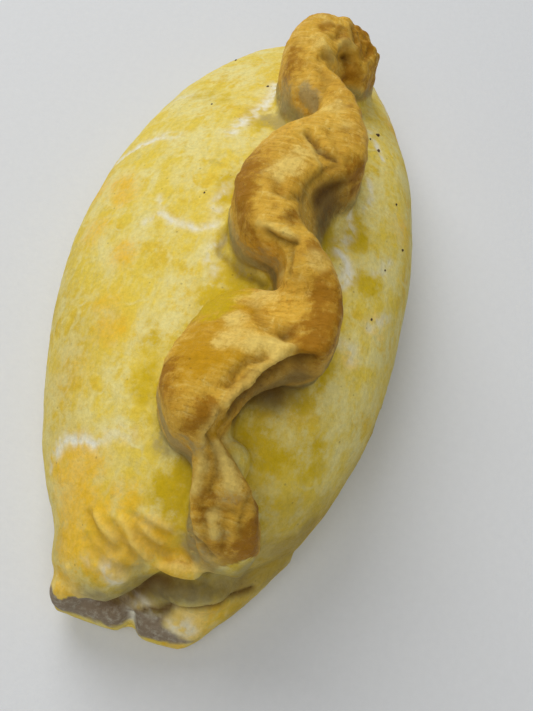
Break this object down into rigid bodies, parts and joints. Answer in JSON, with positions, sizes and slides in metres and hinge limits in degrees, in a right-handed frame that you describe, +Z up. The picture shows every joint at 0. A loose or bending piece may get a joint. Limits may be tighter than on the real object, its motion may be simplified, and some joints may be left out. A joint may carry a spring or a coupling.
{
  "type": "cornish pasty",
  "caption": "A plump half-oval baked pasty with a thick rope-crimped seam standing along its top, a pressed tongue of dough at one end and a flat base, held in the hand and eaten.",
  "frame": {"origin": "middle of the bounding box, at the height of the flat base that the pasty rests on", "axes": "+X along the length towards the torn far corner of the seam, away from the pressed tongue; +Y towards the flank that the seam lies further from; +Z up"},
  "size_m": [0.1832, 0.084, 0.0643],
  "materials": {
    "crust": "matte"
  },
  "bodies": {
    "root": {"pasty": "crust"}
  },
  "joints": []
}
